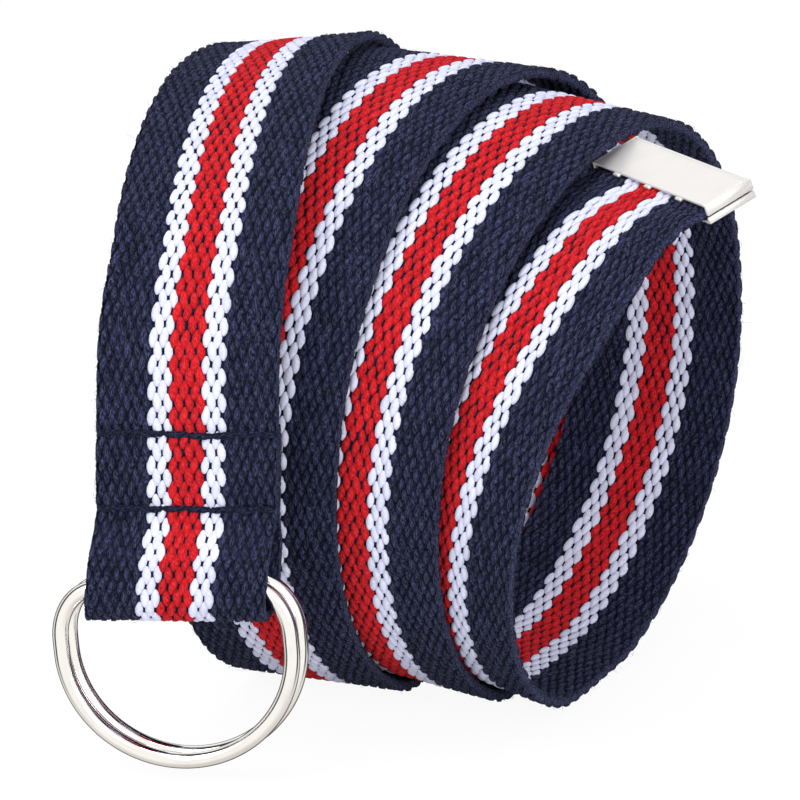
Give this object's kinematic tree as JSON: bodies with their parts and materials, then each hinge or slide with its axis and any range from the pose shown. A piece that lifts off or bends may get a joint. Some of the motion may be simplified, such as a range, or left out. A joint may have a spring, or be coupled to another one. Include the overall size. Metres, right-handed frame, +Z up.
{
  "type": "double ring belt",
  "caption": "Striped woven belt coiled on its side, with two metal D-rings hanging in the sewn fold at one end and a crimped metal cap on the free end.",
  "frame": {"origin": "middle of the belt's box, on the surface that the coil lies on", "axes": "+Z up. +X along the coil's axis, towards the side where the capped end shows. The rings hang on the -Y side."},
  "size_m": [0.141, 0.1648, 0.1404],
  "materials": {
    "webbing": "thick woven cotton in navy, white and red stripes, fuzzy",
    "nickel": "polished",
    "cap": "satin plated"
  },
  "bodies": {
    "belt": {"strap": "webbing", "tip": "cap"},
    "front_ring": {"ring_front": "nickel"},
    "back_ring": {"ring_back": "nickel"}
  },
  "joints": [
    {"name": "front_ring_swing", "type": "hinge", "parent": "belt", "child": "front_ring", "pos_m": [-0.02762, -0.07268, 0.04271], "axis": [-0.9537, -0.2892, -0.0829], "range_deg": [0, 25]},
    {"name": "back_ring_swing", "type": "hinge", "parent": "belt", "child": "back_ring", "pos_m": [-0.02775, -0.06885, 0.04286], "axis": [0.9537, 0.2892, 0.0829], "range_deg": [0, 25]}
  ]
}
